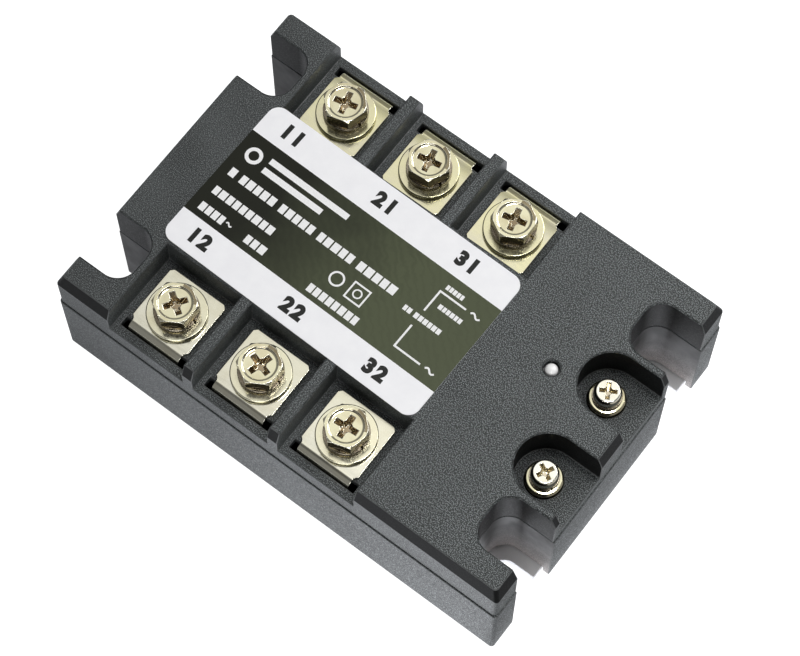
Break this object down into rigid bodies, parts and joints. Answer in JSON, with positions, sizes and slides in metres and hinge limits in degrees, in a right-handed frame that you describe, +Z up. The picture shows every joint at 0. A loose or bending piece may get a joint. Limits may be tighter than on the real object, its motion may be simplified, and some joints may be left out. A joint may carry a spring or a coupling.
{
  "type": "solid state relay",
  "caption": "Three-phase solid state relay: moulded housing on a metal plate, screw terminals in side ledges, two control terminals at one end and four mounting slots.",
  "frame": {"origin": "centre of the mounting face, on the underside of the base plate", "axes": "+X from the load end to the control end, +Y towards the first row of load terminals, +Z up, away from the mounting face"},
  "size_m": [0.105, 0.073, 0.0331],
  "materials": {
    "housing_plastic": "charcoal moulded plastic with a fine spark-eroded grain",
    "plated_metal": "bright pale yellow plating",
    "spring_steel": "plated spring steel, darker than the screws",
    "aluminium": "milled, clear finish",
    "brass": "turned brass, tin plated",
    "label_film": "printed film, satin",
    "clear_lens": "clear resin",
    "circuit_board": "green solder resist",
    "ceramic": "alumina",
    "silicon": "passivated chip",
    "potting": "black filling compound",
    "black_moulding": "moulded component body",
    "resistor_body": "coated resistor"
  },
  "bodies": {
    "housing": {"base_plate": "aluminium", "base_shell": "housing_plastic", "top_cover": "housing_plastic", "front_label": "label_film", "status_led": "clear_lens", "control_board": "circuit_board", "potting_compound": "potting", "input_rectifier": "black_moulding", "input_resistor": "resistor_body", "input_capacitor": "black_moulding", "output_terminal_a1": "plated_metal", "captive_nut_a1": "plated_metal", "output_terminal_a2": "plated_metal", "captive_nut_a2": "plated_metal", "output_terminal_b1": "plated_metal", "captive_nut_b1": "plated_metal", "output_terminal_b2": "plated_metal", "captive_nut_b2": "plated_metal", "output_terminal_c1": "plated_metal", "captive_nut_c1": "plated_metal", "output_terminal_c2": "plated_metal", "captive_nut_c2": "plated_metal", "input_post_1": "brass", "input_post_2": "brass", "ceramic_tile_a": "ceramic", "power_chip_a": "silicon", "opto_coupler_a": "black_moulding", "ceramic_tile_b": "ceramic", "power_chip_b": "silicon", "opto_coupler_b": "black_moulding", "ceramic_tile_c": "ceramic", "power_chip_c": "silicon", "opto_coupler_c": "black_moulding"},
    "washers_a1": {"output_flat_washer_a1": "plated_metal", "output_lock_washer_a1": "spring_steel"},
    "screw_a1": {"output_screw_a1": "plated_metal"},
    "washers_a2": {"output_flat_washer_a2": "plated_metal", "output_lock_washer_a2": "spring_steel"},
    "screw_a2": {"output_screw_a2": "plated_metal"},
    "washers_b1": {"output_flat_washer_b1": "plated_metal", "output_lock_washer_b1": "spring_steel"},
    "screw_b1": {"output_screw_b1": "plated_metal"},
    "washers_b2": {"output_flat_washer_b2": "plated_metal", "output_lock_washer_b2": "spring_steel"},
    "screw_b2": {"output_screw_b2": "plated_metal"},
    "washers_c1": {"output_flat_washer_c1": "plated_metal", "output_lock_washer_c1": "spring_steel"},
    "screw_c1": {"output_screw_c1": "plated_metal"},
    "washers_c2": {"output_flat_washer_c2": "plated_metal", "output_lock_washer_c2": "spring_steel"},
    "screw_c2": {"output_screw_c2": "plated_metal"},
    "washers_input_1": {"input_flat_washer_1": "plated_metal", "input_lock_washer_1": "spring_steel"},
    "screw_input_1": {"input_screw_1": "plated_metal"},
    "washers_input_2": {"input_flat_washer_2": "plated_metal", "input_lock_washer_2": "spring_steel"},
    "screw_input_2": {"input_screw_2": "plated_metal"}
  },
  "joints": [
    {"name": "lift_a1", "type": "slide", "parent": "housing", "child": "washers_a1", "axis": [0, 0, 1], "range_m": [0, 0.004]},
    {"name": "turn_a1", "type": "hinge", "parent": "washers_a1", "child": "screw_a1", "pos_m": [-0.0307, 0.0263, 0.0305], "axis": [0, 0, 1], "range_deg": [0, 1800]},
    {"name": "lift_a2", "type": "slide", "parent": "housing", "child": "washers_a2", "axis": [0, 0, 1], "range_m": [0, 0.004]},
    {"name": "turn_a2", "type": "hinge", "parent": "washers_a2", "child": "screw_a2", "pos_m": [-0.0307, -0.0263, 0.0305], "axis": [0, 0, 1], "range_deg": [0, 1800]},
    {"name": "lift_b1", "type": "slide", "parent": "housing", "child": "washers_b1", "axis": [0, 0, 1], "range_m": [0, 0.004]},
    {"name": "turn_b1", "type": "hinge", "parent": "washers_b1", "child": "screw_b1", "pos_m": [-0.01035, 0.0263, 0.0305], "axis": [0, 0, 1], "range_deg": [0, 1800]},
    {"name": "lift_b2", "type": "slide", "parent": "housing", "child": "washers_b2", "axis": [0, 0, 1], "range_m": [0, 0.004]},
    {"name": "turn_b2", "type": "hinge", "parent": "washers_b2", "child": "screw_b2", "pos_m": [-0.01035, -0.0263, 0.0305], "axis": [0, 0, 1], "range_deg": [0, 1800]},
    {"name": "lift_c1", "type": "slide", "parent": "housing", "child": "washers_c1", "axis": [0, 0, 1], "range_m": [0, 0.004]},
    {"name": "turn_c1", "type": "hinge", "parent": "washers_c1", "child": "screw_c1", "pos_m": [0.01, 0.0263, 0.0305], "axis": [0, 0, 1], "range_deg": [0, 1800]},
    {"name": "lift_c2", "type": "slide", "parent": "housing", "child": "washers_c2", "axis": [0, 0, 1], "range_m": [0, 0.004]},
    {"name": "turn_c2", "type": "hinge", "parent": "washers_c2", "child": "screw_c2", "pos_m": [0.01, -0.0263, 0.0305], "axis": [0, 0, 1], "range_deg": [0, 1800]},
    {"name": "lift_input_1", "type": "slide", "parent": "housing", "child": "washers_input_1", "axis": [0, 0, 1], "range_m": [0, 0.003]},
    {"name": "turn_input_1", "type": "hinge", "parent": "washers_input_1", "child": "screw_input_1", "pos_m": [0.044, -0.01005, 0.0275], "axis": [0, 0, 1], "range_deg": [0, 2160]},
    {"name": "lift_input_2", "type": "slide", "parent": "housing", "child": "washers_input_2", "axis": [0, 0, 1], "range_m": [0, 0.003]},
    {"name": "turn_input_2", "type": "hinge", "parent": "washers_input_2", "child": "screw_input_2", "pos_m": [0.044, 0.01005, 0.0275], "axis": [0, 0, 1], "range_deg": [0, 2160]}
  ],
  "couplings": [
    {"joint": "turn_a1", "follows": "lift_a1", "rad_per_m": 7853.9},
    {"joint": "turn_a2", "follows": "lift_a2", "rad_per_m": 7853.9},
    {"joint": "turn_b1", "follows": "lift_b1", "rad_per_m": 7853.9},
    {"joint": "turn_b2", "follows": "lift_b2", "rad_per_m": 7853.9},
    {"joint": "turn_c1", "follows": "lift_c1", "rad_per_m": 7853.9},
    {"joint": "turn_c2", "follows": "lift_c2", "rad_per_m": 7853.9},
    {"joint": "turn_input_1", "follows": "lift_input_1", "rad_per_m": 12566},
    {"joint": "turn_input_2", "follows": "lift_input_2", "rad_per_m": 12566}
  ]
}
